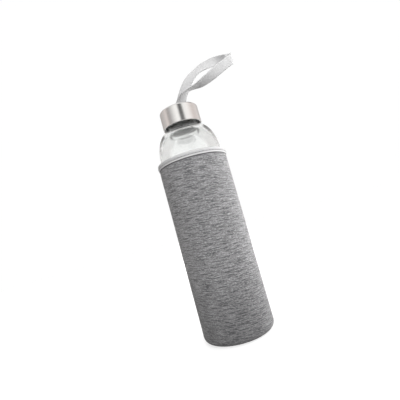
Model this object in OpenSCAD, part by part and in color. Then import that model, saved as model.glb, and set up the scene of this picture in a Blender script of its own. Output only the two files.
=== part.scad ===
// Glass drinking bottle with a screw cap, a ribbon carry loop and a foam-rubber sleeve.
// Millimetres, +Z up, origin at the centre of the sleeve's flat underside.

/* [Glass bottle] */
// Outside diameter of the glass body
glass_d = 64.4; // [52:0.2:90]
// Thickness of the glass wall
glass_wall = 2.2; // [1.6:0.1:3.2]
// Thickness of the glass floor
glass_floor = 4; // [3:0.2:7]
// Rise of the hollow in the middle of the foot
punt_rise = 1.2; // [0.4:0.2:2]
// Width of the flat ring that the foot stands on
foot_ring_w = 2.4; // [1.6:0.2:6]
// Height of the straight glass wall, measured from its foot
wall_h = 179; // [110:1:260]
// Height of the domed shoulder
shoulder_h = 30.5; // [20:0.5:45]
// Radial step from the neck out to the top of the shoulder
shoulder_step = 1.6; // [1.3:0.1:4]
// Diameter of the neck at the root of its thread
neck_d = 33.6; // [28:0.2:42]
// Thickness of the neck's wall at the root of its thread
neck_wall = 2.6; // [2.2:0.1:4]
// Height of the neck above the shoulder
neck_h = 15.5; // [12.5:0.5:22]

/* [Thread] */
// Rise of the thread in one turn
thread_pitch = 4.2; // [3:0.1:5.2]
// Depth of the thread on the glass
thread_depth = 1; // [0.6:0.1:1.4]
// Number of turns on the glass
thread_turns = 1.5; // [1:0.25:1.75]
// Radial clearance between the two threads
thread_play = 0.3; // [0.2:0.05:0.5]

/* [Sleeve] */
// Thickness of the sleeve wall
sleeve_t = 3; // [2.6:0.1:5]
// Radial clearance between the glass and the sleeve
sleeve_play = 0.3; // [0.2:0.05:0.8]
// Drop from the glass shoulder to the sleeve's cut top edge, under the binding
sleeve_drop = 1.8; // [0:0.2:60]
// Outer radius of the sleeve's lower edge
sleeve_corner = 6; // [5:0.5:7.5]
// Thickness of the knitted face
face_t = 0.5; // [0.3:0.1:0.8]
// Thickness of the knitted lining
lining_t = 0.4; // [0.2:0.1:0.6]
// Width of the butt seam up the back
seam_gap = 0.3; // [0.2:0.1:0.6]
// Height of the binding tape on the outside
tape_h = 5.2; // [4:0.2:9]
// Thickness of the binding tape
tape_t = 0.75; // [0.5:0.05:0.9]
// Diameter of the sewing thread
sewing_d = 0.4; // [0.3:0.05:0.6]
// Length of one stitch
stitch_l = 2.6; // [2:0.2:4]

/* [Cap] */
// Thickness of the liner's skirt, outside its thread
liner_t = 1.65; // [1.4:0.05:3]
// Thickness of the steel
steel_t = 0.7; // [0.5:0.05:1]
// Radius of the cap's top edge
cap_corner = 2.2; // [1.2:0.1:3]
// Height of glass neck that shows under the cap
neck_show = 4.1; // [2:0.1:5]
// Height of the rolled hem at the cap's rim
hem_h = 1.2; // [0.8:0.1:2]
// Thickness of the rolled hem
hem_t = 1.1; // [1:0.05:1.4]
// Thickness of the liner's top plate
plate_t = 1.8; // [1.2:0.1:3]
// Height of the space over the plate, where the ribbon ends are clamped
tail_room = 3.3; // [2.4:0.1:6]
// Thickness of the seal ring
seal_t = 2; // [1.2:0.1:3]
// Clearance between nested cap parts
cap_play = 0.05; // [0.02:0.01:0.1]

/* [Ribbon] */
// Width of the ribbon
ribbon_w = 10; // [8:0.5:12]
// Thickness of the ribbon
ribbon_t = 1; // [0.6:0.1:1.2]
// Reach of the loop to the side of the cap
ribbon_reach = 68; // [55:1:90]
// Length of each ribbon end clamped inside the cap
tail_l = 8; // [6:0.5:10]
// Clearance of the ribbon in its slot
slot_play = 0.5; // [0.3:0.1:0.8]

/* [Hidden] */
$fn = 96;

// sleeve
cloth_play = 0.05;                         // clearance between sewn layers of cloth and their thread
sleeve_in_r = glass_d / 2 + sleeve_play;
sleeve_r = sleeve_in_r + sleeve_t;
sleeve_h = sleeve_t + wall_h - sleeve_drop;
foot_r = sleeve_r - sleeve_corner;         // where the wall meets the base disc
edge_z = sewing_d + 2 * cloth_play;        // the sewn edge stands this far off the floor
tape_z = sleeve_h - tape_h + tape_t;       // lower edge of the binding
squeeze_z = tape_z - 0.4;                  // the wall is squeezed thin from here up
squeezed_in_r = sleeve_in_r + tape_t;
squeezed_r = sleeve_r - 2 * cloth_play;

// glass, standing on the base disc
glass_r = glass_d / 2;
glass_z = sleeve_t;
foot_corner = sleeve_corner;               // the glass fills the sleeve's rounded foot
punt_r = glass_r - foot_corner - foot_ring_w;
punt_slope = 3.8;                          // width of the hollow's sloping edge
shoulder_z = glass_z + wall_h;
neck_z = shoulder_z + shoulder_h;
lip_z = neck_z + neck_h;
neck_r = neck_d / 2;
mouth_r = neck_r - neck_wall;
neck_fillet = 1.2;
lip_round = 1;

// cap
thread_r = neck_r + thread_depth;
liner_bore_r = thread_r + thread_play;
liner_r = liner_bore_r + liner_t;
cap_r = liner_r + cap_play + steel_t;
rim_z = neck_z + neck_show;
plate_z = lip_z + seal_t;
cap_top_z = plate_z + plate_t + tail_room + steel_t;
hem_round = 0.4;
liner_z = rim_z + hem_h + cap_play;
plug_play = 0.45;
plug_r = mouth_r - plug_play;
plug_wall = 1.2;
plug_h = 3.5;
clamp_w = 7;                               // width of the ring that the ribbon's ends are clamped on
seal_play = 0.2;
seal_proud = 0.4;                          // the seal reaches this far past the lip
seal_in_r = plug_r + seal_play;
seal_r = neck_r + seal_proud;
layer_gap = 0.1;                           // half of the gap between the ribbon's two layers
slot_l = ribbon_w + 2 * slot_play + 2;
slot_w = 2 * (ribbon_t + layer_gap + slot_play);
slot_x = 1;                                // the ribbon sits a little off the middle of its slot
knuckle_r = ribbon_t + layer_gap;
knuckle_gap = 0.4;
knuckle_z = cap_top_z + knuckle_r + knuckle_gap;

// thread runs: start height on the glass, and the turns covered inside the liner
thread_foot = 1.2;                         // half of the thread's width at its root
thread_tip = 0.5;                          // half of its width at its crest
thread_sunk = 0.3;                         // depth that its root is sunk into the wall
plain_lip = 0.7;                           // bare glass between the thread and the rounded lip
thread_z = lip_z - lip_round - plain_lip - thread_foot - thread_pitch * thread_turns;
grip_start = 235;                          // degrees
grip_turns = 1.2;
step = 10;                                 // degrees between rings of a thread

// points along an elliptical arc
function arc(cx, cz, rx, rz, from, to, n) =
    [for (i = [0 : n]) let (a = from + (to - from) * i / n) [cx + rx * cos(a), cz + rz * sin(a)]];

// a tube of revolution with a square section
module ring(outer, inner, z0, z1) {
    translate([0, 0, z0]) difference() {
        cylinder(r = outer, h = z1 - z0);
        translate([0, 0, -1]) cylinder(r = inner, h = z1 - z0 + 2);
    }
}

// one helical thread ridge: root and crest radii, the height of its middle at angle 0,
// and the angles that it runs between
module helix(root, crest, z0, from, to) {
    n = ceil((to - from) / step);
    profile = [[root, -thread_foot], [crest, -thread_tip], [crest, thread_tip], [root, thread_foot]];
    points = [for (i = [0 : n]) let (a = from + (to - from) * i / n)
              for (p = profile) [p[0] * cos(a), p[0] * sin(a), z0 + thread_pitch * a / 360 + p[1]]];
    sides = [for (i = [0 : n - 1]) for (j = [0 : 3]) let (a = 4 * i + j, b = 4 * i + (j + 1) % 4)
             crest > root ? [a, b, b + 4, a + 4] : [a + 4, b + 4, b, a]];
    ends = crest > root ? [[3, 2, 1, 0], [4 * n, 4 * n + 1, 4 * n + 2, 4 * n + 3]]
                        : [[0, 1, 2, 3], [4 * n + 3, 4 * n + 2, 4 * n + 1, 4 * n]];
    polyhedron(points, concat(sides, ends));
}

module glass_bottle() {
    dome_top = neck_r + shoulder_step;
    inner_top = mouth_r + 0.7;
    outside = concat(
        [[0, glass_z + punt_rise], [punt_r - punt_slope, glass_z + punt_rise * 0.8], [punt_r, glass_z]],
        arc(glass_r - foot_corner, glass_z + foot_corner, foot_corner, foot_corner, -90, 0, 8),
        arc(dome_top, shoulder_z, glass_r - dome_top, shoulder_h, 0, 90, 28),
        arc(neck_r + neck_fillet, neck_z + neck_fillet, neck_fillet, neck_fillet, 270, 180, 5),
        arc(neck_r - lip_round, lip_z - lip_round, lip_round, lip_round, 0, 90, 5));
    inside_r = glass_r - glass_wall;
    inner_corner = foot_corner - 0.5;
    inside = concat(
        arc(mouth_r + lip_round, lip_z - lip_round, lip_round, lip_round, 90, 180, 5),
        arc(inner_top, shoulder_z, inside_r - inner_top, shoulder_h - glass_wall, 90, 0, 28),
        arc(inside_r - inner_corner, glass_z + glass_floor + inner_corner, inner_corner, inner_corner, 0, -90, 8),
        [[0, glass_z + glass_floor]]);
    color([0.86, 0.92, 0.92, 0.45]) {
        rotate_extrude() polygon(concat(outside, inside));
        helix(neck_r - thread_sunk, thread_r, thread_z, 0, 360 * thread_turns);
    }
}

// one layer of the sleeve wall, between two depths below its outer surface
module wall_layer(outer_t, inner_t, top_z, top_outer, top_inner, step_z) {
    outer_c = sleeve_corner - outer_t;
    inner_c = sleeve_corner - inner_t;
    difference() {
        rotate_extrude() polygon(concat(
            arc(foot_r, edge_z + sleeve_corner, outer_c, outer_c, -90, 0, 10),
            [[sleeve_r - outer_t, step_z], [top_outer, step_z], [top_outer, top_z],
             [top_inner, top_z], [top_inner, step_z], [sleeve_r - inner_t, step_z]],
            arc(foot_r, edge_z + sleeve_corner, inner_c, inner_c, 0, -90, 10)));
        translate([-seam_gap / 2, foot_r - 1, 0]) cube([seam_gap, sleeve_corner + 2, sleeve_h + 1]);
    }
}

module sleeve_face() {
    color([0.60, 0.60, 0.60])
        wall_layer(0, face_t, sleeve_h, squeezed_r, squeezed_r - face_t, squeeze_z);
}

module sleeve_foam() {
    color([0.20, 0.20, 0.21])
        wall_layer(face_t, sleeve_t - lining_t, sleeve_h, squeezed_r - face_t, squeezed_in_r, squeeze_z);
}

module sleeve_lining() {
    color([0.30, 0.30, 0.31])
        difference() {
            wall_layer(sleeve_t - lining_t, sleeve_t, squeeze_z + 1, sleeve_in_r + lining_t, sleeve_in_r, squeeze_z);
            translate([0, 0, squeeze_z]) cylinder(r = sleeve_r + 1, h = sleeve_h);
        }
}

module sleeve_base() {
    seam_r = foot_r - 1.5;
    color([0.45, 0.45, 0.46]) {
        cylinder(r = seam_r, h = glass_z);
        translate([0, 0, edge_z]) cylinder(r = foot_r - cloth_play, h = glass_z - edge_z);
    }
}

// zigzag that closes the butt seam up the back
module side_seam_thread() {
    half_w = 2;
    first = edge_z + sleeve_corner + 1;
    count = floor((tape_z - 1 - first) / stitch_l);
    run = sqrt(pow(2 * half_w, 2) + pow(stitch_l, 2));
    tilt = atan2(2 * half_w, stitch_l);
    color([0.80, 0.80, 0.80])
        for (i = [0 : count - 1])
            translate([0, sleeve_r + sewing_d / 2 + cloth_play, first + (i + 0.5) * stitch_l])
                rotate([0, i % 2 == 0 ? tilt : -tilt, 0])
                    cylinder(d = sewing_d, h = run - sewing_d, center = true, $fn = 16);
}

// short stitches across the joint between the wall and the base disc
module base_seam_thread() {
    count = floor(2 * PI * foot_r / (stitch_l * 1.2));
    color([0.75, 0.75, 0.75])
        for (i = [0 : count - 1])
            rotate([0, 0, 360 * i / count])
                translate([foot_r - 1.1, 0, sewing_d / 2 + cloth_play])
                    rotate([0, 90, 0]) cylinder(d = sewing_d, h = 2.2, $fn = 16);
}

// tape folded over the sleeve's top edge
module binding_tape() {
    z0 = tape_z;
    z1 = sleeve_h + cloth_play;
    leg_in = squeezed_in_r - cloth_play;
    leg_out = squeezed_r + cloth_play;
    color([0.83, 0.83, 0.83])
        difference() {
            translate([0, 0, z0]) rotate_extrude() polygon(concat(
                [[sleeve_in_r, 0], [leg_out + tape_t, 0]],
                arc(leg_out, z1 - z0, tape_t, tape_t, 0, 90, 6),
                arc(leg_in, z1 - z0, leg_in - sleeve_in_r, tape_t, 90, 180, 6)));
            ring(leg_out, leg_in, z0 - 1, z1);
        }
}

// running stitch that holds the folded tape
module binding_thread() {
    r = squeezed_r + cloth_play + tape_t;
    count = floor(2 * PI * r / (stitch_l * 1.35));
    color([0.90, 0.90, 0.90])
        for (i = [0 : count - 1])
            rotate([0, 0, 360 * i / count])
                translate([r + sewing_d / 2 + 0.08, 0, tape_z + 1.1])
                    rotate([90, 0, 0]) cylinder(d = sewing_d, h = stitch_l, center = true, $fn = 16);
}

// silicone washer between the lip of the glass and the liner
module seal_ring() {
    color([0.95, 0.95, 0.93]) ring(seal_r, seal_in_r, lip_z, plate_z);
}

// moulded liner: skirt with the inner thread, top plate, plug ring and the clamp ring for the ribbon
module cap_liner() {
    clamp_r = tail_l + 4;
    clamp_top = cap_top_z - steel_t - cap_play - ribbon_t - cap_play;
    color([0.34, 0.34, 0.35]) {
        ring(liner_r, liner_bore_r, liner_z, plate_z + 0.5);
        translate([0, 0, plate_z]) cylinder(r = liner_r, h = plate_t);
        ring(plug_r, plug_r - plug_wall, plate_z - plug_h, plate_z + 0.5);
        ring(clamp_r, clamp_r - clamp_w, plate_z + plate_t - 0.2, clamp_top);
        helix(liner_bore_r + thread_sunk, neck_r + thread_play, thread_z - thread_pitch / 2,
              grip_start, grip_start + 360 * grip_turns);
    }
}

module cap_shell() {
    inner_r = cap_r - steel_t;
    inner_corner = cap_corner - steel_t;
    color([0.80, 0.80, 0.79])
        difference() {
            rotate_extrude() polygon(concat(
                arc(cap_r - hem_t + hem_round, rim_z + hem_round, hem_round, hem_round, 180, 270, 4),
                arc(cap_r - hem_round, rim_z + hem_round, hem_round, hem_round, -90, 0, 4),
                arc(cap_r - cap_corner, cap_top_z - cap_corner, cap_corner, cap_corner, 0, 90, 8),
                [[0, cap_top_z], [0, cap_top_z - steel_t]],
                arc(inner_r - inner_corner, cap_top_z - steel_t - inner_corner, inner_corner, inner_corner, 90, 0, 6),
                [[inner_r, rim_z + hem_h], [cap_r - hem_t, rim_z + hem_h]]));
            translate([slot_x, 0, cap_top_z - steel_t - 1]) linear_extrude(steel_t + 2) {
                square([slot_l - slot_w, slot_w], center = true);
                for (side = [-1, 1])
                    translate([side * (slot_l - slot_w) / 2, 0]) circle(d = slot_w, $fn = 48);
            }
        }
}

// the two ends of the ribbon: through the slot, then folded outwards under the steel
module ribbon_tails() {
    under_z = cap_top_z - steel_t - cap_play;
    color([0.80, 0.80, 0.81])
        translate([slot_x - ribbon_w / 2, 0, 0])
            for (side = [-1, 1]) mirror([0, side < 0 ? 1 : 0, 0]) {
                translate([0, cap_play, under_z - ribbon_t])
                    cube([ribbon_w, ribbon_t, cap_top_z - under_z + ribbon_t + 0.1]);
                translate([0, cap_play, under_z - ribbon_t]) cube([ribbon_w, tail_l, ribbon_t]);
            }
}

// stations along the loop, from the slot's front layer out to the tip and back:
// place relative to the middle of the slot, then the direction across the ribbon
route_reach = 68;                          // reach of the loop as its stations are written
loop_route = [
    [1, -0.6, 1.5, 1, 0, 0], [2.7, -0.8, 4, 1, 0.05, -0.15], [4.8, -1.5, 6.3, 0.95, 0.2, -0.25],
    [7.5, -3.4, 10.2, 0.86, 0.5, -0.1], [10.7, -4.6, 13.4, 0.6, 0.8, 0.05], [14.5, -5.6, 15.6, 0.3, 0.95, 0.18],
    [19, -7, 16.3, 0.05, 0.98, 0.13], [25, -9, 16.4, 0, 0.98, -0.1], [31.5, -11, 17.3, 0.05, 0.85, -0.5],
    [39, -12, 20, 0.12, 0.7, -0.7], [46.5, -13, 23, 0.2, 0.4, -0.88], [55, -13, 27, 0.12, 0.15, -0.97],
    [62, -13, 30, 0.05, 0.1, -1], [69, -11.5, 33, 0, 0.1, -1], [68, -8, 35.5, 0, 0.1, -1],
    [59.5, -6.5, 37.5, 0, 0.1, -1], [51, -5.5, 38.6, 0, 0.1, -1], [44, -4, 38.7, 0.1, -0.15, -0.98],
    [37, -2.5, 38, 0.25, -0.35, -0.9], [30, -1, 36, 0.4, -0.5, -0.75], [24.5, 0, 33.2, 0.6, -0.4, -0.65],
    [20.3, 0.8, 30, 0.75, -0.3, -0.55], [16.7, 1.2, 26.3, 0.88, -0.1, -0.42], [13.5, 1.2, 22, 0.93, 0, -0.35],
    [10, 1, 16.5, 0.94, 0, -0.33], [7, 0.9, 11.4, 0.95, 0, -0.3], [5, 0.8, 7, 0.96, 0, -0.27],
    [2.7, 0.7, 4, 1, 0, -0.15], [1, 0.6, 1.5, 1, 0, 0]];

function unit(v) = v / norm(v);
function place(s) = [s[0], s[1], s[2]];
function across(s) = unit([s[3], s[4], s[5]]);
// a smooth curve that is led by the stations: a uniform cubic spline
function smooth(p, i, t) =
    let (last = len(p) - 1, a = p[max(i - 1, 0)], b = p[i], c = p[min(i + 1, last)], d = p[min(i + 2, last)])
    (pow(1 - t, 3) * a + (3 * pow(t, 3) - 6 * t * t + 4) * b
        + (3 * t * t + 3 * t + 1 - 3 * pow(t, 3)) * c + pow(t, 3) * d) / 6;

module ribbon_loop() {
    cuts = 2;
    grow = ribbon_reach / route_reach;
    last = len(loop_route) - 1;
    path = [for (i = [0 : last - 1]) for (k = [0 : cuts - 1]) smooth(loop_route, i, k / cuts)];
    all = concat(path, [smooth(loop_route, last, 0)]);
    n = len(all) - 1;
    middle = [for (s = all) [slot_x + (s[0] - slot_x) * grow, s[1], knuckle_z + (s[2] - 1.5) * grow]];
    // the ribbon keeps its width at right angles to its path, however its cross lines slant
    points = [for (i = [0 : n])
        let (along = unit(middle[min(i + 1, n)] - middle[max(i - 1, 0)]),
             side = across(all[i]), face = cross(side, along))
        for (c = [[-1, -1], [1, -1], [1, 1], [-1, 1]])
            middle[i] + side / norm(face) * c[0] * ribbon_w / 2 + unit(face) * c[1] * ribbon_t / 2];
    sides = [for (i = [0 : n - 1]) for (j = [0 : 3])
             let (a = 4 * i + j, b = 4 * i + (j + 1) % 4)
             for (t = [[a, b, b + 4], [a, b + 4, a + 4]]) t];
    ends = [[2, 1, 0], [3, 2, 0], [4 * n, 4 * n + 1, 4 * n + 2], [4 * n, 4 * n + 2, 4 * n + 3]];
    color([0.82, 0.82, 0.83]) {
        polyhedron(points, concat(sides, ends));
        translate([slot_x - ribbon_w / 2, 0, knuckle_z])
            rotate([0, 90, 0]) cylinder(r = knuckle_r, h = ribbon_w, $fn = 32);
    }
}

glass_bottle();
sleeve_base();
sleeve_lining();
sleeve_foam();
sleeve_face();
side_seam_thread();
base_seam_thread();
binding_tape();
binding_thread();
seal_ring();
cap_liner();
cap_shell();
ribbon_tails();
ribbon_loop();
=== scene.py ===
import math

import bmesh
import bpy
from mathutils import Matrix, Vector, noise


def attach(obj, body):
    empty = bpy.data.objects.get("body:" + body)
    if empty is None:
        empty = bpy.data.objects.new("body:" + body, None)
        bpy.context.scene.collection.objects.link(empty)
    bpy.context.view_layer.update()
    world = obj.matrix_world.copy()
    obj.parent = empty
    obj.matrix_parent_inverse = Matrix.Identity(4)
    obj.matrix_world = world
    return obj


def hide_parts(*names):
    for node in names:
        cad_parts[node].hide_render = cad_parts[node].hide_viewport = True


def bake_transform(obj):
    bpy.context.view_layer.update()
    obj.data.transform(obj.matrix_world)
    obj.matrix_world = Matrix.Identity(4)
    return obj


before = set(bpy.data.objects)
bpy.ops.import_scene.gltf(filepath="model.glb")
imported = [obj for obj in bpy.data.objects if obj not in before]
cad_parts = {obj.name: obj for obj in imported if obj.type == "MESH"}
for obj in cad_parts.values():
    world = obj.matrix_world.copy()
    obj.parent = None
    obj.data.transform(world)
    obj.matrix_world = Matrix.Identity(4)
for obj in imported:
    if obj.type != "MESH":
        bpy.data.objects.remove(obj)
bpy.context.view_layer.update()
mm = 0.001
mergeGap = 1e-6                              # vertices nearer than this, in metres, become one
print("frame loaded")


def arc(centreR, centreZ, radius, start, end, count, height=None):
    # from a start to an end angle in degrees, in count steps; a height makes it part of an ellipse
    tall = radius if height is None else height
    points = []
    for i in range(count + 1):
        a = math.radians(start + (end - start) * i / count)
        points.append((centreR + radius * math.cos(a), centreZ + tall * math.sin(a)))
    return points


def line(a, b, count):
    # count points after a, up to and with b
    return [(a[0] + (b[0] - a[0]) * i / count, a[1] + (b[1] - a[1]) * i / count)
            for i in range(1, count + 1)]


def aroundPoints(count):
    # directions round a circle, from one whole turn
    return [(math.cos(math.tau * k / count), math.sin(math.tau * k / count)) for k in range(count)]


def addPiece(bm, name):
    mesh = bpy.data.meshes.new(name)
    bm.to_mesh(mesh)
    bm.free()
    mesh.shade_smooth()
    piece = bpy.data.objects.new(name, mesh)
    bpy.context.scene.collection.objects.link(piece)
    return piece


def finishMesh(bm, name, sharp=40):
    # an edge that turns by more than sharp, in degrees, stays crisp
    bmesh.ops.remove_doubles(bm, verts=bm.verts, dist=mergeGap)
    bmesh.ops.recalc_face_normals(bm, faces=bm.faces)
    piece = addPiece(bm, name)
    piece.data.set_sharp_from_angle(angle=math.radians(sharp))
    return piece


def lathe(points, segments, closed=False):
    # points are (radius, height) in millimetres, turned about the bottle's axis from the back
    bm = bmesh.new()
    verts = [bm.verts.new((0, r * mm, z * mm)) for r, z in points]
    edges = [bm.edges.new((verts[i], verts[i + 1])) for i in range(len(verts) - 1)]
    if closed:
        edges.append(bm.edges.new((verts[-1], verts[0])))
    bmesh.ops.spin(bm, geom=verts + edges, cent=(0, 0, 0), axis=(0, 0, 1), dvec=(0, 0, 0),
                   angle=math.tau, steps=segments, use_merge=True, use_duplicate=False)
    bmesh.ops.remove_doubles(bm, verts=bm.verts, dist=mergeGap)
    return bm


def outward(co):
    # the distance from the bottle's axis, and the direction away from it
    r = math.hypot(co.x, co.y)
    return r, Vector((co.x / r, co.y / r, 0))


def unroll(piece, radius):
    # UV in metres: round the bottle from the back seam, and up
    mesh = piece.data
    layer = mesh.uv_layers.new(name="UVMap")
    for face in mesh.polygons:
        centre = math.atan2(-face.center.x, -face.center.y)
        for loop in face.loop_indices:
            co = mesh.vertices[mesh.loops[loop].vertex_index].co
            angle = math.atan2(-co.x, -co.y)
            if angle - centre > math.pi:
                angle -= math.tau
            elif centre - angle > math.pi:
                angle += math.tau
            layer.data[loop].uv = (angle * radius * mm, co.z)


def nextRow(bm, edges, verts):
    # pulls a new row out of a row of edges; its vertices come in the old row's order
    made = bmesh.ops.extrude_edge_only(bm, edges=edges)["geom"]
    fresh = {g for g in made if isinstance(g, bmesh.types.BMVert)}
    row = [next(e.other_vert(v) for e in v.link_edges if e.other_vert(v) in fresh) for v in verts]
    return [g for g in made if isinstance(g, bmesh.types.BMEdge)], row


def loft(bm, rings):
    # a skin through rings of places in millimetres, all with as many points
    circle = bmesh.ops.create_circle(bm, cap_ends=False, segments=len(rings[0]), radius=1)["verts"]
    verts = sorted(circle, key=lambda v: math.atan2(v.co.y, v.co.x))
    edges = list(dict.fromkeys(e for v in verts for e in v.link_edges))
    first = verts
    for i, ring in enumerate(rings):
        if i > 0:
            edges, verts = nextRow(bm, edges, verts)
        for v, point in zip(verts, ring):
            v.co = point * mm
    return first, verts


def tube(bm, path, radius, sides=6, tip=0.55):
    # a round thread along a list of points in millimetres, closed and thinner at both ends
    rings = []
    last = len(path) - 1
    for i, p in enumerate(path):
        along = path[min(i + 1, last)] - path[max(i - 1, 0)]
        turned = along.to_track_quat("Z", "Y").to_matrix()
        size = radius * (tip if i in (0, last) else 1)
        rings.append([p + turned @ Vector((c, s, 0)) * size for c, s in aroundPoints(sides)])
    for ring in loft(bm, rings):
        bmesh.ops.contextual_create(bm, geom=ring)


class Signal:
    # a socket that can stand in sums
    def __init__(self, maker, socket):
        self.maker = maker
        self.socket = socket

    def __add__(self, other):
        return self.maker.math("ADD", self, other)

    def __radd__(self, other):
        return self.maker.math("ADD", other, self)

    def __sub__(self, other):
        return self.maker.math("SUBTRACT", self, other)

    def __rsub__(self, other):
        return self.maker.math("SUBTRACT", other, self)

    def __mul__(self, other):
        return self.maker.math("MULTIPLY", self, other)

    def __rmul__(self, other):
        return self.maker.math("MULTIPLY", other, self)

    def __truediv__(self, other):
        return self.maker.math("DIVIDE", self, other)

    def __rtruediv__(self, other):
        return self.maker.math("DIVIDE", other, self)


class NodeMaker:
    def __init__(self, tree):
        self.tree = tree

    def node(self, kind, settings=None, inputs=None, output=0):
        made = self.tree.nodes.new("ShaderNode" + kind)
        for key, value in (settings or {}).items():
            if key == "stops":
                self.fillRamp(made.color_ramp, value)
            else:
                setattr(made, key, value)
        for key, value in (inputs or {}).items():
            self.feed(made.inputs[key], value)
        return Signal(self, made.outputs[output])

    def fillRamp(self, ramp, stops):
        while len(ramp.elements) < len(stops):
            ramp.elements.new(0.5)
        for element, (position, colour) in zip(ramp.elements, stops):
            element.position = position
            element.color = (*colour, 1)

    def feed(self, socket, value):
        if isinstance(value, Signal):
            self.tree.links.new(value.socket, socket)
        else:
            socket.default_value = value

    def math(self, operation, a, b=0.0):
        return self.node("Math", {"operation": operation}, {0: a, 1: b})

    def size(self, x, y):
        return self.math("SQRT", x * x + y * y)

    def wave(self, along, length):
        # 0 to 1 and back once in each length
        return self.math("SINE", along * (math.tau / length)) * 0.5 + 0.5

    def smooth(self, value, low, high, toLow=0.0, toHigh=1.0):
        return self.node("MapRange", {"interpolation_type": "SMOOTHSTEP"},
                         {"Value": value, "From Min": low, "From Max": high,
                          "To Min": toLow, "To Max": toHigh})

    def mix(self, factor, a, b):
        # a Mix node's colour sockets are its inputs 6 and 7 and its output 2
        a, b = [(*value, 1) if isinstance(value, tuple) else value for value in (a, b)]
        return self.node("Mix", {"data_type": "RGBA"}, {0: factor, 6: a, 7: b}, 2)

    def noise(self, vector, scale, detail=2.0, roughness=0.5):
        return self.node("TexNoise", inputs={"Vector": vector, "Scale": scale, "Detail": detail,
                                             "Roughness": roughness})

    def vector(self, x, y, z=0.0):
        return self.node("CombineXYZ", inputs={0: x, 1: y, 2: z})

    def parts(self, vector):
        split = self.node("SeparateXYZ", inputs={0: vector})
        return [Signal(self, output) for output in split.socket.node.outputs]

    def place(self):
        return self.node("TexCoord", output="Object")

    def uv(self):
        return self.node("TexCoord", output="UV")

    def bump(self, height, depth, strength=1.0):
        return self.node("Bump", inputs={"Height": height, "Distance": depth, "Strength": strength})

    def seen(self):
        # 1 for what meets the eye directly or through glass, 0 for what lights or is mirrored
        direct = self.node("LightPath", output="Is Camera Ray")
        throughGlass = self.node("LightPath", output="Is Transmission Ray")
        return self.math("MAXIMUM", direct, throughGlass)


class Shader(NodeMaker):
    def __init__(self, name, **constants):
        self.material = bpy.data.materials.new(name)
        self.material.use_nodes = True
        super().__init__(self.material.node_tree)
        self.surface = self.tree.nodes["Principled BSDF"]
        for key, value in constants.items():
            self.surface.inputs[key.replace("_", " ")].default_value = value

    def set(self, **links):
        for key, value in links.items():
            self.feed(self.surface.inputs[key.replace("_", " ")], value)
        return self.material


def grained(name, tones, grain, roughness, depth, strength, **constants):
    # one stuff all through: its grain (scale, detail) drives the tone, the shine and the relief
    shader = Shader(name, **constants)
    cells = shader.noise(shader.place(), *grain)
    return shader.set(Base_Color=shader.mix(cells, *tones),
                      Roughness=shader.smooth(cells, 0.2, 0.8, *roughness),
                      Normal=shader.bump(cells, depth, strength))


def paint(piece, material):
    piece.data.materials.clear()
    piece.data.materials.append(material)


def assign(piece, material, body, node):
    # the finish, then the moving body and the CAD node it stands in for
    paint(piece, material)
    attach(piece, body)
    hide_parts(node)


view = {"place": (0, -0.31416, 0.10687), "right": (0.9633, 0.0354, -0.2662),
        "up": (0.2683, -0.0907, 0.959), "lens": 27.54, "near": 0.01}


def makeCamera():
    right, up = Vector(view["right"]).normalized(), Vector(view["up"])
    back = right.cross(up).normalized()
    up = back.cross(right)
    data = bpy.data.cameras.new("camera")
    data.lens = view["lens"]
    data.clip_start = view["near"]
    camera = bpy.data.objects.new("camera", data)
    turn = Matrix((right, up, back)).transposed().to_4x4()
    camera.matrix_world = Matrix.Translation(view["place"]) @ turn
    bpy.context.scene.collection.objects.link(camera)
    bpy.context.scene.camera = camera
    bpy.context.scene.view_settings.view_transform = "Standard"


# the room: plain walls, darker on the left, with a band of panels that the cap mirrors
studio = {"strength": 1.3, "backdrop": 1.005, "left": 0.08, "right": 0.78, "sideReach": 0.9,
          "white": (1.0, 0.995, 0.985), "gloss": 0.74, "bandLow": 0.16, "bandHigh": 0.62,
          "lowFade": 0.14, "highFade": 0.25}
# azimuth in degrees round from the front, positive to the right, and colour
panels = [(-180, (0.50, 0.49, 0.48)), (-148, (0.40, 0.38, 0.37)), (-104, (0.56, 0.53, 0.52)),
          (-83, (0.72, 0.66, 0.64)), (-68, (0.40, 0.38, 0.37)), (-54, (0.42, 0.41, 0.41)),
          (-34, (0.74, 0.74, 0.73)), (-16, (1.0, 1.0, 0.99)), (-2, (0.95, 0.95, 0.94)),
          (4, (0.20, 0.20, 0.20)), (12, (0.08, 0.08, 0.08)), (24, (0.22, 0.22, 0.22)),
          (31, (0.90, 0.90, 0.89)), (56, (0.96, 0.94, 0.93)), (88, (0.66, 0.60, 0.58)),
          (124, (0.70, 0.66, 0.65)), (150, (0.50, 0.48, 0.47)), (179, (0.50, 0.49, 0.48))]


def makeStudio():
    world = bpy.data.worlds.new("studio")
    world.use_nodes = True
    bpy.context.scene.world = world
    maker = NodeMaker(world.node_tree)
    sky = world.node_tree.nodes["Background"]
    x, y, z = maker.parts(maker.node("TexCoord", output="Generated"))
    azimuth = maker.math("ARCTAN2", x, y * -1.0) / math.tau + 0.5
    stops = [(0.5 + angle / 360, colour) for angle, colour in panels]
    streaks = maker.node("ValToRGB", {"stops": stops}, {0: azimuth})
    reach = studio["sideReach"]
    side = maker.smooth(x, -reach, reach, studio["left"], studio["right"])
    plain = maker.mix(side, (0.0, 0.0, 0.0), studio["white"])
    mirrored = maker.node("LightPath", output="Is Glossy Ray")
    plain = maker.mix(mirrored, plain, (studio["gloss"],) * 3)
    low, high = studio["bandLow"], studio["bandHigh"]
    band = maker.smooth(z, low - studio["lowFade"], low)
    band = band * (1 - maker.smooth(z, high, high + studio["highFade"]))
    lit = maker.mix(band, plain, streaks)
    backdrop = (studio["backdrop"] / studio["strength"],) * 3
    maker.feed(sky.inputs["Color"], maker.mix(maker.seen(), lit, backdrop))
    maker.feed(sky.inputs["Strength"], studio["strength"])


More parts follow.
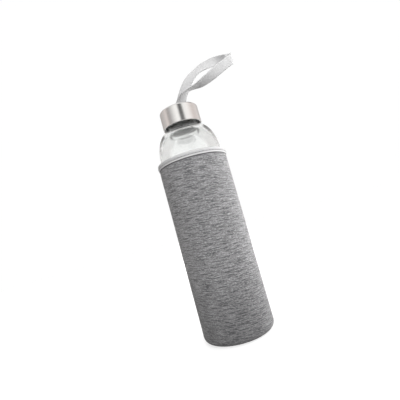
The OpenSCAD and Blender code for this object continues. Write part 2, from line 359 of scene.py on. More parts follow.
# place in metres, size in metres and power in watts
lamps = {"rimLight": ((0.72, 0.30, 0.24), 0.5, 8.5), "fillLight": ((0.14, -0.55, 0.50), 0.4, 3.4),
         "backLight": ((-0.15, 0.95, 0.50), 0.5, 6.0)}
lampAim = (0, 0, 0.14)


def makeLamp(name, place, size, power):
    data = bpy.data.lights.new(name, "AREA")
    data.size = size
    data.energy = power
    lamp = bpy.data.objects.new(name, data)
    place = Vector(place)
    turned = (Vector(lampAim) - place).to_track_quat("-Z", "Y").to_matrix().to_4x4()
    lamp.matrix_world = Matrix.Translation(place) @ turned
    lamp.visible_camera = False
    lamp.visible_glossy = False
    lamp.visible_transmission = False
    bpy.context.scene.collection.objects.link(lamp)


ground = {"radius": 6, "sides": 64, "grain": 4.0, "tone": 0.36, "uneven": 0.01, "glow": 0.70,
          "farGlow": 0.2, "near": 0.15, "far": 0.9}


def makeFloor():
    g = ground
    bm = bmesh.new()
    bmesh.ops.create_circle(bm, cap_ends=True, segments=g["sides"], radius=g["radius"])
    floor = finishMesh(bm, "floor")
    shader = Shader("paleFloor", Roughness=0.9, Emission_Strength=1.0)
    place = shader.place()
    grain = shader.noise(place, g["grain"], 3)
    x, y, _ = shader.parts(place)
    far = shader.smooth(shader.size(x, y), g["near"], g["far"])
    glow = shader.mix(far, (g["glow"],) * 3, (g["glow"] + g["farGlow"],) * 3)
    tone = shader.mix(grain, (g["tone"] - g["uneven"],) * 3, (g["tone"] + g["uneven"],) * 3)
    glow = shader.mix(shader.seen(), (0.0, 0.0, 0.0), glow)
    paint(floor, shader.set(Base_Color=tone, Emission_Color=glow))


makeCamera()
makeStudio()
for name, (place, size, power) in lamps.items():
    makeLamp(name, place, size, power)
makeFloor()
print("camera, light and floor ready")


glass = {"radius": 32.2, "wall": 2.2, "floor": 4.0, "foot": 6.0, "inFoot": 5.5, "footZ": 3.0,
         "shoulderZ": 182.0, "shoulder": 30.5, "domeTop": 18.4, "neck": 16.8, "lipZ": 228.0,
         "mouth": 14.2, "throat": 0.7, "fillet": 1.2, "lip": 1.0, "punt": 1.2,
         "puntCurve": [(0, 1), (0.35, 0.97), (0.6, 0.8), (0.7, 0.3), (0.75, 0)],
         "segments": 144, "wallRows": 24, "domeRows": 40, "neckRows": 52, "cornerRows": 12,
         "lipRows": 6,
         "tint": (0.935, 0.945, 0.935, 1), "waver": 55.0, "waverDepth": 0.00012,
         "bodyAlpha": 0.55, "neckAlpha": 1.0, "fadeLow": 188.0, "fadeHigh": 211.0}
thread = {"pitch": 4.2, "depth": 1.0, "turns": 1.5, "start": 218.8, "foot": 1.2, "tip": 0.5,
          "play": 0.3, "gripStart": 235.0, "gripTurns": 1.2, "fade": 22.0, "skin": 0.02,
          "neckClear": 2.0, "lipClear": 1.2}


def ridge(angle, z, start, first, last):
    # height share of the thread at an angle (degrees) and a height; the ends fade out
    best = 0
    for turnNumber in range(-1, 4):
        a = angle + 360 * turnNumber
        if first <= a <= last:
            away = abs(z - start - thread["pitch"] * a / 360)
            share = min(1, max(0, (thread["foot"] - away) / (thread["foot"] - thread["tip"])))
            share = share * share * (3 - 2 * share)
            share *= min(1, (a - first) / thread["fade"], (last - a) / thread["fade"])
            best = max(best, share)
    return best


def cutThread(bm, radius, change, start, first, last, lowZ, highZ):
    # moves the wall of this radius out by change, or in where it is negative, along the thread
    for v in bm.verts:
        r = math.hypot(v.co.x, v.co.y) / mm
        z = v.co.z / mm
        if abs(r - radius) < thread["skin"] and lowZ < z < highZ:
            angle = math.degrees(math.atan2(v.co.y, v.co.x)) % 360
            k = (r + change * ridge(angle, z, start, first, last)) / r
            v.co.x *= k
            v.co.y *= k


def makeBottle():
    g = glass
    radius, foot, neck = g["radius"], g["foot"], g["neck"]
    mouth, lip, fillet = g["mouth"], g["lip"], g["fillet"]
    neckZ = g["shoulderZ"] + g["shoulder"]
    lipZ = g["lipZ"] - lip
    outside = [(radius * r, g["footZ"] + g["punt"] * z) for r, z in g["puntCurve"]]
    outside += arc(radius - foot, g["footZ"] + foot, foot, -90, 0, g["cornerRows"])
    outside += line(outside[-1], (radius, g["shoulderZ"]), g["wallRows"])[:-1]
    outside += arc(g["domeTop"], g["shoulderZ"], radius - g["domeTop"], 0, 90, g["domeRows"],
                   g["shoulder"])
    outside += arc(neck + fillet, neckZ + fillet, fillet, 270, 180, g["lipRows"])
    outside += line(outside[-1], (neck, lipZ), g["neckRows"])[:-1]
    outside += arc(neck - lip, lipZ, lip, 0, 90, g["lipRows"])
    inRadius = radius - g["wall"]
    inDome = mouth + g["throat"]
    inHeight = g["shoulder"] - g["wall"]
    inFoot = g["inFoot"]
    floorZ = g["footZ"] + g["floor"]
    inside = arc(mouth + lip, lipZ, lip, 90, 180, g["lipRows"])
    inside += line(inside[-1], (mouth, neckZ - g["wall"] + g["throat"]), g["cornerRows"])
    inside += arc(inDome, g["shoulderZ"], inRadius - inDome, 90, 0, g["domeRows"], inHeight)
    inside += line(inside[-1], (inRadius, floorZ + inFoot), g["wallRows"])[:-1]
    inside += arc(inRadius - inFoot, floorZ + inFoot, inFoot, 0, -90, g["cornerRows"])
    inside += [((inRadius - inFoot) * 0.5, floorZ), (0, floorZ)]
    bm = lathe(outside + inside, g["segments"])
    cutThread(bm, neck, thread["depth"], thread["start"], 0, 360 * thread["turns"],
              neckZ + thread["neckClear"], g["lipZ"] - thread["lipClear"])
    return finishMesh(bm, "glassBottle", sharp=60)


def clearGlass():
    g = glass
    shader = Shader("clearGlass", Base_Color=g["tint"], Transmission_Weight=1.0, IOR=1.47,
                    Roughness=0.0)
    place = shader.place()
    waver = shader.noise(place, g["waver"], 1.0)
    _, _, z = shader.parts(place)
    body = shader.smooth(z, g["fadeLow"] * mm, g["fadeHigh"] * mm, g["bodyAlpha"], g["neckAlpha"])
    return shader.set(Normal=shader.bump(waver, g["waverDepth"], 0.6), Alpha=body)


assign(makeBottle(), clearGlass(), "bottle", "glass_bottle")
print("glass bottle made")


cap = {"radius": 20.5, "rimZ": 216.6, "topZ": 235.8, "steel": 0.7, "corner": 2.2, "hemT": 1.1,
       "hemH": 1.2, "hemRound": 0.4, "hemEase": 0.1, "flat": 13.0, "slotL": 13.0, "slotW": 3.2,
       "slotX": 1.0, "slotMargin": 2.2, "slotEdge": [(0, 0.14), (0.05, 0.04), (0.14, 0)],
       "slotUnder": 0.12, "segments": 160,
       "tones": ((0.62, 0.605, 0.59), (0.82, 0.81, 0.795))}


def slotRing(grow, z):
    # the slot's outline, grown by a margin, in as many directions from its middle as a round ring
    half = (cap["slotL"] - cap["slotW"]) / 2
    radius = cap["slotW"] / 2 + grow
    ring = []
    for c, s in aroundPoints(cap["segments"]):
        t = radius / max(abs(s), 1e-9)
        if abs(t * c) > half:
            side = math.copysign(half, c)
            t = c * side + math.sqrt(max(0, radius * radius - (s * side) ** 2))
        ring.append(Vector((cap["slotX"] + t * c, t * s, z)))
    return ring


def roundRing(radius, z):
    return [Vector((radius * c, radius * s, z)) for c, s in aroundPoints(cap["segments"])]


def makeShell():
    # from the slot's lower edge out over the top, down the side, round the hem and back inside
    c = cap
    radius, corner = c["radius"], c["corner"]
    rimZ, hem = c["rimZ"], c["hemRound"]
    top, under = c["topZ"], c["topZ"] - c["steel"]
    inner, innerCorner = radius - c["steel"], corner - c["steel"]
    hemIn, hemTop = radius - c["hemT"], rimZ + c["hemH"]
    slotFoot = slotRing(0, under + c["slotUnder"])
    rings = [slotFoot] + [slotRing(grow, top - down) for grow, down in c["slotEdge"]]
    rings += [slotRing(c["slotMargin"], top), roundRing(c["flat"], top)]
    profile = arc(radius - corner, top - corner, corner, 90, 0, 10)
    profile += line(profile[-1], (radius, rimZ + hem), 12)[:-1]
    profile += arc(radius - hem, rimZ + hem, hem, 0, -90, 4)
    profile += arc(hemIn + hem, rimZ + hem, hem, 270, 180, 4)
    profile += [(hemIn, hemTop - c["hemEase"]), (hemIn + c["hemEase"], hemTop), (inner, hemTop)]
    profile += arc(inner - innerCorner, under - innerCorner, innerCorner, 0, 90, 6)
    rings += [roundRing(r, z) for r, z in profile]
    rings += [roundRing(c["flat"], under), slotRing(c["slotMargin"], under),
              slotRing(c["slotUnder"], under), slotFoot]
    bm = bmesh.new()
    loft(bm, rings)
    return finishMesh(bm, "capShell", sharp=35)


def brushedSteel():
    shader = Shader("brushedSteel", Metallic=1.0)
    place = shader.place()
    x, y, z = shader.parts(place)
    height = z - shader.size(x, y)                       # runs up the side and in over the top
    coarse = shader.noise(shader.vector(x * 45.0, y * 45.0, height * 2600.0), 1.0, 3, 0.6)
    fine = shader.noise(shader.vector(x * 140.0, y * 140.0, height * 9000.0), 1.0, 2, 0.6)
    lines = coarse * 0.6 + fine * 0.4
    cloud = shader.noise(place, 70.0, 3)
    return shader.set(Base_Color=shader.mix(lines, *cap["tones"]),
                      Roughness=shader.smooth(lines + cloud * 0.25, 0.3, 0.9, 0.13, 0.24),
                      Normal=shader.bump(lines, 0.00003, 0.55))


seal = {"thick": 2.0, "inside": 0.25, "outside": 0.4, "inRound": 0.3, "outRound": 0.5,
        "segments": 96, "tones": ((0.80, 0.81, 0.80), (0.90, 0.90, 0.89))}
liner = {"play": 0.05, "plate": 1.8, "shoulder": 0.6, "bevel": 0.3, "ease": 0.4, "boreEnd": 0.5,
         "gripEnd": 0.6, "plugPlay": 0.45, "plugWall": 1.2, "plugDrop": 3.5, "clampIn": 5.0,
         "clampOut": 12.0, "clampGap": 1.1, "clampEase": 0.2, "segments": 144,
         "tones": ((0.30, 0.30, 0.305), (0.40, 0.40, 0.405))}


def makeLiner():
    n = liner
    outer = cap["radius"] - cap["steel"] - n["play"]
    bore = glass["neck"] + thread["depth"] + thread["play"]
    low = cap["rimZ"] + cap["hemH"] + n["play"]
    plate = glass["lipZ"] + seal["thick"]
    top = plate + n["plate"]
    plug = glass["mouth"] - n["plugPlay"]
    plugIn, plugLow = plug - n["plugWall"], plate - n["plugDrop"]
    clampTop = cap["topZ"] - cap["steel"] - n["clampGap"]
    inside, outside = n["clampIn"], n["clampOut"]
    edge, bevel, ease, end = n["clampEase"], n["bevel"], n["ease"], n["boreEnd"]
    profile = [(0, top), (inside - edge, top), (inside, top + edge), (inside, clampTop - edge),
               (inside + edge, clampTop), (outside - edge, clampTop), (outside, clampTop - edge),
               (outside, top + edge), (outside + edge, top), (outer - n["shoulder"], top),
               (outer, top - n["shoulder"])]
    profile += line(profile[-1], (outer, low + bevel), 4)
    profile += [(outer - bevel, low), (bore + ease, low), (bore, low + ease)]
    profile += line(profile[-1], (bore, plate - end), 44)
    profile += [(bore - end, plate), (plug + ease, plate), (plug, plate - ease),
                (plug, plugLow + ease), (plug - bevel, plugLow), (plugIn + bevel, plugLow),
                (plugIn, plugLow + bevel), (plugIn, plate - bevel), (plugIn - bevel, plate), (0, plate)]
    bm = lathe(profile, n["segments"])
    first = thread["gripStart"]
    cutThread(bm, bore, -thread["depth"], thread["start"] - thread["pitch"] / 2, first,
              first + 360 * thread["gripTurns"], low + end, plate - n["gripEnd"])
    return finishMesh(bm, "capLiner", sharp=45)


def mouldedGrey():
    shader = Shader("mouldedGrey", Specular_IOR_Level=0.45)
    place = shader.place()
    speck = shader.noise(place, 2600.0, 2)
    cloud = shader.noise(place, 90.0, 3)
    return shader.set(Base_Color=shader.mix(cloud, *liner["tones"]),
                      Roughness=shader.smooth(speck, 0.2, 0.8, 0.34, 0.5),
                      Normal=shader.bump(speck, 0.00002, 0.4))


def makeSeal():
    low, high = glass["lipZ"], glass["lipZ"] + seal["thick"]
    inner, outer = glass["mouth"] - seal["inside"], glass["neck"] + seal["outside"]
    a, b = seal["outRound"], seal["inRound"]
    profile = arc(outer - a, high - a, a, 90, 0, 4) + arc(outer - a, low + a, a, 0, -90, 4)
    profile += arc(inner + b, low + b, b, 270, 180, 3) + arc(inner + b, high - b, b, 180, 90, 3)
    return finishMesh(lathe(profile, seal["segments"], closed=True), "sealRing", sharp=50)


milkySilicone = grained("milkySilicone", seal["tones"], (240.0, 3), (0.4, 0.55), 0.00004, 0.3,
                        Subsurface_Weight=0.3, Specular_IOR_Level=0.4)
assign(makeShell(), brushedSteel(), "cap", "cap_shell")
assign(makeLiner(), mouldedGrey(), "cap", "cap_liner")
assign(makeSeal(), milkySilicone, "seal", "seal_ring")
print("cap made")


# the darker tone lies near the slot, along the returning branch and, as painted shade, inside the fold
ribbon = {"width": 10.0, "thick": 0.85, "cup": 0.25, "cuts": 6, "across": 10, "underGap": 0.6,
          "twill": 0.0011, "weft": 0.00045, "selvage": (0.0040, 0.0046),
          "tones": ((0.37, 0.373, 0.378), (0.76, 0.76, 0.765)), "darkeningAndShade": (0.20, 0.20, 0.205),
          "slotDarkening": 0.12, "foldShadeShare": 0.65, "returnDarkening": 0.25, "slotReach": (0.012, 0.040),
          "foldStart": (0.512, 0.53), "foldEnd": (0.53, 0.61), "returning": (0.72, 0.88)}
# how far each clamped end reaches from the slot, and how high it is over its clamp
ribbonEnd = [(8.0, 0), (4.0, 0), (2.2, 0), (1.0, 0.3), (0.6, 1.2)]
# place from the middle of the cap's top, in millimetres, then the direction across the ribbon
ribbonRoute = [
    (1, -0.6, 1.5, 1, 0, 0), (2.7, -0.8, 4, 1, 0.05, -0.15), (4.8, -1.5, 6.3, 0.95, 0.2, -0.25),
    (7.5, -3.4, 10.2, 0.86, 0.5, -0.1), (10.7, -4.6, 13.4, 0.6, 0.8, 0.05),
    (14.5, -5.6, 15.6, 0.3, 0.95, 0.18), (19, -7, 16.3, 0.05, 0.98, 0.13),
    (25, -9, 16.4, 0, 0.98, -0.1), (31.5, -11, 17.3, 0.05, 0.85, -0.5),
    (39, -12, 20, 0.12, 0.7, -0.7), (46.5, -13, 23, 0.2, 0.4, -0.88),
    (55, -13, 27, 0.12, 0.15, -0.97), (62, -13, 30, 0.05, 0.1, -1), (69, -11.5, 33, 0, 0.1, -1),
    (68, -8, 35.5, 0, 0.1, -1), (59.5, -6.5, 37.5, 0, 0.1, -1), (51, -5.5, 38.6, 0, 0.1, -1),
    (44, -4, 38.7, 0.1, -0.15, -0.98), (37, -2.5, 38, 0.25, -0.35, -0.9),
    (30, -1, 36, 0.4, -0.5, -0.75), (24.5, 0, 33.2, 0.6, -0.4, -0.65),
    (20.3, 0.8, 30, 0.75, -0.3, -0.55), (16.7, 1.2, 26.3, 0.88, -0.1, -0.42),
    (13.5, 1.2, 22, 0.93, 0, -0.35), (10, 1, 16.5, 0.94, 0, -0.33), (7, 0.9, 11.4, 0.95, 0, -0.3),
    (5, 0.8, 7, 0.96, 0, -0.27), (2.7, 0.7, 4, 1, 0, -0.15), (1, 0.6, 1.5, 1, 0, 0)]


def smoothRoute(stations, cuts):
    # a uniform cubic spline that is led by the stations
    rows = []
    last = len(stations) - 1
    for step in range(last * cuts + 1):
        i, t = divmod(step, cuts)
        t /= cuts
        near = [stations[min(max(i + k, 0), last)] for k in (-1, 0, 1, 2)]
        pull = ((1 - t) ** 3, 3 * t ** 3 - 6 * t * t + 4, 3 * t * t + 3 * t + 1 - 3 * t ** 3,
                t ** 3)
        row = [sum(w * station[axis] for w, station in zip(pull, near)) / 6 for axis in range(6)]
        rows.append((Vector(row[:3]), Vector(row[3:]).normalized()))
    return rows


def makeRibbon():
    under = -cap["steel"] - ribbon["underGap"]
    front = [(cap["slotX"], -reach, under + rise, 1, 0, 0) for reach, rise in ribbonEnd]
    rear = [(x, -y, z, a, b, c) for x, y, z, a, b, c in reversed(front)]
    rows = smoothRoute(front + ribbonRoute + rear, ribbon["cuts"])
    base = Vector((0, 0, cap["topZ"]))
    lengths = [0]
    for (p, _), (q, _) in zip(rows, rows[1:]):
        lengths.append(lengths[-1] + (q - p).length)
    count, half = ribbon["across"], ribbon["width"] / 2
    bm = bmesh.new()
    layer = bm.loops.layers.uv.new("UVMap")
    verts = [bm.verts.new() for _ in range(count + 1)]
    edges = [bm.edges.new((verts[k], verts[k + 1])) for k in range(count)]
    uvOf = {}
    for i, (centre, side) in enumerate(rows):
        after, before = rows[min(i + 1, len(rows) - 1)][0], rows[max(i - 1, 0)][0]
        face = side.cross((after - before).normalized())
        slant = face.length                  # keeps the width true at right angles to the path
        face.normalize()
        if i > 0:
            edges, verts = nextRow(bm, edges, verts)
        for k, v in enumerate(verts):
            t = k / count * 2 - 1
            cup = ribbon["cup"] * (1 - t * t)
            v.co = (base + centre + side * (t * half / slant) + face * cup) * mm
            uvOf[v] = (t * half * mm, lengths[i] * mm)
    for f in bm.faces:
        for loop in f.loops:
            loop[layer].uv = uvOf[loop.vert]
    print("ribbon length", round(lengths[-1], 1))
    piece = addPiece(bm, "ribbonLoop")
    wall = piece.modifiers.new("thickness", "SOLIDIFY")
    wall.thickness = ribbon["thick"] * mm
    wall.offset = 0
    return piece, lengths[-1] * mm


def wovenRibbon(length):
    # length is the whole ribbon's, in metres: it is darker at the slot and along the returning branch,
    # with painted shade inside its fold
    shader = Shader("wovenRibbon", Sheen_Weight=0.1, Sheen_Roughness=0.5, Specular_IOR_Level=0.3)
    cloth = shader.uv()
    u, v, _ = shader.parts(cloth)
    twill = shader.wave(u + v * 0.55, ribbon["twill"])
    weft = shader.wave(v, ribbon["weft"])
    selvage = shader.smooth(shader.math("ABSOLUTE", u), *ribbon["selvage"])
    weave = twill * (1 - selvage) * 0.75 + weft * 0.25 + selvage * 0.4
    fuzz = shader.noise(cloth, 900.0, 3, 0.7)
    wear = shader.noise(cloth, 160.0, 2)
    tone = shader.mix(weave * 0.6 + fuzz * 0.2 + wear * 0.2, *ribbon["tones"])
    slotEnd = 1 - shader.smooth(shader.math("MINIMUM", v, length - v), *ribbon["slotReach"])
    foldStart, foldEnd, returning = [shader.smooth(v, *[length * share for share in ribbon[kind]])
                                     for kind in ("foldStart", "foldEnd", "returning")]
    # painted shade on the inside of the fold, just past the tip
    fold = foldStart * (1 - foldEnd)
    # darker near the slot and along the returning branch, plus the fold's painted shade
    darkeningAndShade = slotEnd * ribbon["slotDarkening"] + fold * ribbon["foldShadeShare"]
    darkeningAndShade = darkeningAndShade + returning * ribbon["returnDarkening"]
    return shader.set(Base_Color=shader.mix(darkeningAndShade, tone, ribbon["darkeningAndShade"]),
                      Roughness=shader.smooth(fuzz, 0.2, 0.8, 0.62, 0.8),
                      Normal=shader.bump(weave * 0.8 + fuzz * 0.2, 0.00016, 0.7))


strap, strapLength = makeRibbon()
paint(strap, wovenRibbon(strapLength))
bpy.context.view_layer.objects.active = strap
strap.select_set(True)
bpy.ops.object.modifier_apply(modifier="thickness")
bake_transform(strap)
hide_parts("ribbon_loop", "ribbon_tails")
print("ribbon made")


sleeve = {"inner": 32.5, "outer": 35.5, "face": 0.5, "corner": 6.0, "edgeZ": 0.5, "topZ": 180.2,
          "tapeT": 0.75, "tapeH": 5.2, "bond": 0.05, "tuck": 0.12, "segments": 220, "rows": 120,
          "cornerRows": 12}
# unevenness of the cloth: waves to a metre across and along, and their height in metres
drape = {"wave": (22, 14, 0.00022), "gather": (90, 45, 0.00006), "pucker": (160, 60, 0.00009),
         "edge": (60, 0.00012), "footFade": (0.004, 0.012), "tapeFade": 0.006,
         "seamWidth": 0.0011, "seamDepth": 0.00028}
sewing = {"thread": 0.4, "step": 2.6, "seamHalf": 2.0, "seamLift": 0.36, "bindingTurn": 2.1,
          "bindingLift": 0.32, "binding": 64, "base": 59, "baseLift": -0.34,
          "tones": ((0.42, 0.42, 0.43), (0.74, 0.74, 0.75))}
tapeFoot = sleeve["topZ"] - sleeve["tapeH"] + sleeve["tapeT"]
baseEdge = sleeve["outer"] - sleeve["corner"]


def uneven(co, across, along, depth):
    return noise.noise(Vector((co.x * across, co.y * across, co.z * along))) * depth


def makeFace():
    s = sleeve
    corner, face, tucked = s["corner"], s["face"], s["outer"] - s["tuck"]
    out = arc(baseEdge, s["edgeZ"] + corner, corner, -90, 0, s["cornerRows"])
    out += line(out[-1], (s["outer"], tapeFoot - 0.9), s["rows"])
    out += [(s["outer"] - 0.1, tapeFoot - 0.3), (tucked, tapeFoot + 0.5), (tucked, s["topZ"] - 0.5)]
    inside = [(r - face, z) for r, z in reversed(out[s["cornerRows"] + 1:])]
    inside += arc(baseEdge, s["edgeZ"] + corner, corner - face, 0, -90, s["cornerRows"])
    bm = lathe(out + inside, s["segments"], closed=True)
    low, rise = drape["footFade"]
    for v in bm.verts:
        _, side = outward(v.co)
        fade = min(1, max(0, (v.co.z - low) / rise))
        fade *= min(1, max(0, (tapeFoot * mm - v.co.z) / drape["tapeFade"]))
        bulge = (uneven(v.co, *drape["wave"]) + uneven(v.co, *drape["gather"])) * fade
        if v.co.y > 0:                                    # the butt seam draws in, up the back
            bulge -= math.exp(-(v.co.x / drape["seamWidth"]) ** 2) * drape["seamDepth"]
        v.co += side * bulge
    piece = finishMesh(bm, "sleeveFace", sharp=70)
    unroll(piece, s["outer"])
    return piece


# lengths in metres; each tone is mixed over the ones before it by its share; the tone towards the foot
# and the one just under the tape are painted shade
jersey = {"rowSlope": 0.07, "rowDrift": 0.0024, "loopHigh": 0.0011, "loopWide": 0.0008,
          "yarn": ((0.255, 0.255, 0.261), (0.53, 0.53, 0.537)),
          "dark": ((0.075, 0.075, 0.08), 0.9), "speck": ((0.09, 0.09, 0.095), 0.42),
          "fleck": ((0.62, 0.62, 0.628), 0.38), "footShade": ((0.015, 0.015, 0.016), 0.36),
          "shade": ((0.06, 0.06, 0.062), 0.3), "tuck": ((0.035, 0.035, 0.037), 0.75)}


def heatheredJersey(name, underTape=None):
    # marl yarn: thin dark and pale streaks that run round the bottle, on small knitted loops
    shader = Shader(name, Sheen_Weight=0.2, Sheen_Roughness=0.6, Specular_IOR_Level=0.12)
    cloth = shader.uv()
    u, v, _ = shader.parts(cloth)
    drift = shader.noise(shader.vector(u * 30.0, v * 34.0), 1.0, 2) - 0.5
    row = v - u * jersey["rowSlope"] + drift * jersey["rowDrift"]    # the rows spiral a little
    long = shader.noise(shader.vector(u * 82.0, row * 1150.0), 1.0, 3, 0.55)
    thin = shader.noise(shader.vector(u * 260.0 + 7.0, row * 1900.0), 1.0, 2, 0.6)
    speck = shader.noise(cloth, 950.0, 2, 0.6)
    fleck = shader.noise(shader.vector(u * 420.0 + 3.0, row * 1300.0), 1.0, 1, 0.5)
    fibre = shader.noise(shader.vector(u * 1300.0, v * 3600.0), 1.0, 2, 0.6)
    cloud = shader.noise(cloth, 30.0, 2)
    lean = shader.math("ABSOLUTE", shader.math("FRACT", v / jersey["loopHigh"]) - 0.5)
    loops = shader.wave(u + lean * jersey["loopHigh"], jersey["loopWide"])
    knit = loops * 0.5 + (1 - shader.smooth(lean, 0.30, 0.5)) * 0.5
    shade = knit * 0.4 + cloud * 0.35 + fibre * 0.25
    masks = {"dark": shader.smooth(long * 0.62 + thin * 0.38, 0.475, 0.555),
             "speck": shader.smooth(speck, 0.42, 0.60),
             "fleck": shader.smooth(fleck, 0.55, 0.66),
             "footShade": 1 - shader.smooth(v, 0.004, 0.085),            # painted shade, darker towards the foot
             "shade": 1 - shader.smooth(shade, 0.25, 0.7)}
    if underTape:
        # painted shadow in a thin band just under the binding tape's lower edge
        masks["tuck"] = shader.smooth(v, underTape - 0.0016, underTape - 0.0002)
    base = shader.mix(shader.smooth(thin * 0.5 + fibre * 0.5, 0.46, 0.62), *jersey["yarn"])
    for kind, mask in masks.items():
        tone, share = jersey[kind]
        base = shader.mix(mask * share, base, tone)
    return shader.set(Base_Color=base, Roughness=shader.smooth(fibre, 0.2, 0.8, 0.82, 0.95),
                      Normal=shader.bump(knit * 0.7 + fibre * 0.3, 0.00018, 0.6))


# lengths in millimetres; furrow is the height of the sewing over the tape's lower edge
tapeLook = {"cord": 1.35, "cordHigh": 0.06, "furrow": 2.1, "furrowWide": 0.4, "furrowDeep": 0.12,
            "rib": 0.9, "tones": ((0.30, 0.30, 0.305), (0.76, 0.76, 0.765)),
            "turned": ((0.70, 0.70, 0.705), 0.7), "shaded": ((0.17, 0.17, 0.175), 0.8)}


def ribbedWall(r, z):
    # the tape's outer leg: fine cords round it, and a furrow where it is sewn down
    up = z - tapeFoot
    cords = tapeLook["cordHigh"] * math.cos(math.tau * up / tapeLook["cord"])
    furrow = math.exp(-((up - tapeLook["furrow"]) / tapeLook["furrowWide"]) ** 2)
    return r + cords - tapeLook["furrowDeep"] * furrow, z


def makeTape():
    s = sleeve
    t, bond, low, high = s["tapeT"], s["bond"], tapeFoot, s["topZ"] + s["bond"]
    legIn, legOut = s["inner"] + t - bond, s["outer"] - bond
    out = [(legOut + bond, low + bond), (legOut + t * 0.5, low - 0.02),
           (legOut + t - 0.1, low + 0.1)]
    out += line(out[-1], (legOut + t + 0.02, low + 0.6), 2)
    out += [ribbedWall(r, z) for r, z in line(out[-1], (legOut + t, high), 26)[:-1]]
    out += arc(legOut, high, t, 0, 90, 6) + arc(legIn, high, t, 90, 180, 6)
    out += line(out[-1], (s["inner"], low + 0.2), 8)
    core = [(s["inner"] + 0.2, low), (legIn, low + 0.1)]
    core += line(core[-1], (legIn, high), 6) + [(legOut, high)]
    core += line((legOut, high), (legOut, low + 0.3), 6)
    bm = lathe(out + core, s["segments"], closed=True)
    across, depth = drape["edge"]
    for v in bm.verts:
        r, side = outward(v.co)
        if r > legOut * mm:
            v.co += side * uneven(v.co, *drape["pucker"])
            v.co.z += noise.noise(Vector((v.co.x * across, v.co.y * across, 3))) * depth
    piece = finishMesh(bm, "bindingTape", sharp=70)
    unroll(piece, s["outer"])
    return piece


def ribbedTape():
    # lengthwise ribs, a pale turned edge at the bottom and a furrow along the stitches
    shader = Shader("ribbedTape", Sheen_Weight=0.15, Specular_IOR_Level=0.2)
    cloth = shader.uv()
    u, v, _ = shader.parts(cloth)
    fuzz = shader.noise(cloth, 1400.0, 3, 0.7)
    wear = shader.noise(cloth, 120.0, 2)
    rib = shader.wave(u, tapeLook["rib"] * mm)
    cord = shader.wave(v, tapeLook["cord"] * mm)
    weave = rib * 0.25 + cord * 0.4 + fuzz * 0.2 + wear * 0.15
    tone = shader.mix(weave, *tapeLook["tones"])
    low = tapeFoot * mm
    colour, share = tapeLook["turned"]
    turned = 1 - shader.smooth(v, low + 0.0007, low + 0.0011)
    tone = shader.mix(turned * share, tone, colour)
    colour, share = tapeLook["shaded"]
    away = shader.math("ABSOLUTE", v - (low + tapeLook["furrow"] * mm))
    tone = shader.mix((1 - shader.smooth(away, 0.0003, 0.0008)) * share, tone, colour)
    return shader.set(Base_Color=tone, Roughness=shader.smooth(fuzz, 0.2, 0.8, 0.75, 0.92),
                      Normal=shader.bump(weave, 0.0002, 0.8))


# the base disc's outline: how far each point lies inside the disc's edge, and its height
disc = {"rim": [(2.2, 0), (1.7, 0.06), (1.5, 0.25), (1.35, 0.5), (0.9, 0.56), (0.3, 0.62),
                (0.08, 0.85), (0.08, 2.7), (0.3, 2.97)],
        "top": 2.97, "pinch": 0.09, "pinchIn": 1.8, "pinchLow": 0.1, "pinchHigh": 0.8,
        "stepsPerStitch": 5}


def makeBase():
    # the sewn disc that the bottle stands on, puckered by its stitches
    outline = [(baseEdge * share, 0) for share in (0, 0.3, 0.6, 0.85)]
    outline += [(baseEdge - inset, z) for inset, z in disc["rim"]]
    outline += [(baseEdge * share, disc["top"]) for share in (0.7, 0.35, 0)]
    bm = lathe(outline, sewing["base"] * disc["stepsPerStitch"])
    for v in bm.verts:
        r = math.hypot(v.co.x, v.co.y) / mm
        if baseEdge - disc["pinchIn"] < r and disc["pinchLow"] < v.co.z / mm < disc["pinchHigh"]:
            pinch = math.cos(sewing["base"] * math.atan2(v.co.y, v.co.x)) * 0.5 + 0.5
            v.co.z += disc["pinch"] * mm * pinch
    piece = finishMesh(bm, "sleeveBase", sharp=70)
    layer = piece.data.uv_layers.new(name="UVMap")
    for loop in piece.data.loops:
        co = piece.data.vertices[loop.vertex_index].co
        layer.data[loop.index].uv = (co.x, co.y)
    return piece


def aroundAxis(bm, count):
    # copies everything in the mesh to count places round the bottle's axis
    bmesh.ops.spin(bm, geom=bm.verts[:] + bm.edges[:] + bm.faces[:], cent=(0, 0, 0), axis=(0, 0, 1),
                   dvec=(0, 0, 0), angle=math.tau * (count - 1) / count, steps=count - 1,
                   use_duplicate=True)


def archedStitch(bm, start, end, lift):
    # one stitch that rises out of the cloth by lift and dives back in
    path = []
    for i in range(7):
        t = i / 6
        path.append(start.lerp(end, t) + lift * (1 - (2 * t - 1) ** 4))
    tube(bm, path, sewing["thread"] / 2)


def makeBaseStitches():
    bm = bmesh.new()
    archedStitch(bm, Vector((baseEdge - 1.15, 0, 0.62)), Vector((baseEdge + 1.05, 0.5, 0.66)),
                 Vector((0, 0, sewing["baseLift"])))
    aroundAxis(bm, sewing["base"])
    return finishMesh(bm, "baseStitches", sharp=80)


def makeBindingStitches():
    bm = bmesh.new()
    r = sleeve["outer"] - sleeve["bond"] + sleeve["tapeT"]
    half = math.radians(sewing["bindingTurn"])
    start, end = [Vector((r * math.cos(a), r * math.sin(a), tapeFoot + tapeLook["furrow"]))
                  for a in (-half, half)]
    archedStitch(bm, start, end, Vector((sewing["bindingLift"], 0, 0)))
    aroundAxis(bm, sewing["binding"])
    return finishMesh(bm, "bindingStitches", sharp=80)


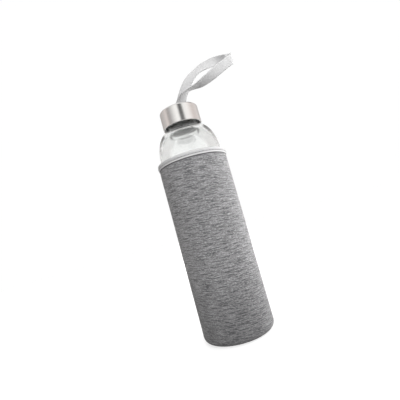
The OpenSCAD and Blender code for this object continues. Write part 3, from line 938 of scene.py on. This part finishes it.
def makeSeamStitches():
    # a zigzag up the butt seam
    bm = bmesh.new()
    z = sleeve["edgeZ"] + sleeve["corner"] + 1
    outer = sleeve["outer"] - 0.2
    step, sideways = sewing["step"], sewing["seamHalf"]
    while z + step < tapeFoot - 0.8:
        archedStitch(bm, Vector((-sideways, outer, z)), Vector((sideways, outer, z + step * 0.9)),
                     Vector((0, sewing["seamLift"], 0)))
        sideways = -sideways
        z += step
    return finishMesh(bm, "seamStitches", sharp=80)


def sewingThread():
    shader = Shader("sewingThread", Sheen_Weight=0.2, Specular_IOR_Level=0.35)
    place = shader.place()
    x, y, z = shader.parts(place)
    twist = shader.wave(x + y + z * 1.7, 0.0004)
    fuzz = shader.noise(place, 2200.0, 2)
    return shader.set(Base_Color=shader.mix(twist * 0.6 + fuzz * 0.4, *sewing["tones"]),
                      Roughness=shader.smooth(fuzz, 0.2, 0.8, 0.6, 0.8),
                      Normal=shader.bump(twist, 0.00005, 0.6))


hidden = {"foam": ((0.02, 0.02, 0.022), (0.06, 0.06, 0.065)),
          "lining": ((0.22, 0.22, 0.225), (0.34, 0.34, 0.345))}
foamRubber = grained("foamRubber", hidden["foam"], (1800.0, 2), (0.78, 0.9), 0.0001, 0.6,
                     Specular_IOR_Level=0.3)
greyLining = grained("greyLining", hidden["lining"], (900.0, 3), (0.85, 0.95), 0.0002, 0.6,
                     Specular_IOR_Level=0.2)
face, tape, base = makeFace(), makeTape(), makeBase()
threadFinish = sewingThread()
faceJersey = heatheredJersey("heatheredJersey", underTape=tapeFoot * mm)
assign(face, faceJersey, "sleeve", "sleeve_face")
assign(tape, ribbedTape(), "sleeve", "binding_tape")
assign(base, heatheredJersey("baseJersey"), "sleeve", "sleeve_base")
assign(makeBaseStitches(), threadFinish, "sleeve", "base_seam_thread")
assign(makeBindingStitches(), threadFinish, "sleeve", "binding_thread")
assign(makeSeamStitches(), threadFinish, "sleeve", "side_seam_thread")
paint(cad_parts["sleeve_lining"], greyLining)
paint(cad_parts["sleeve_foam"], foamRubber)
print("sleeve made")
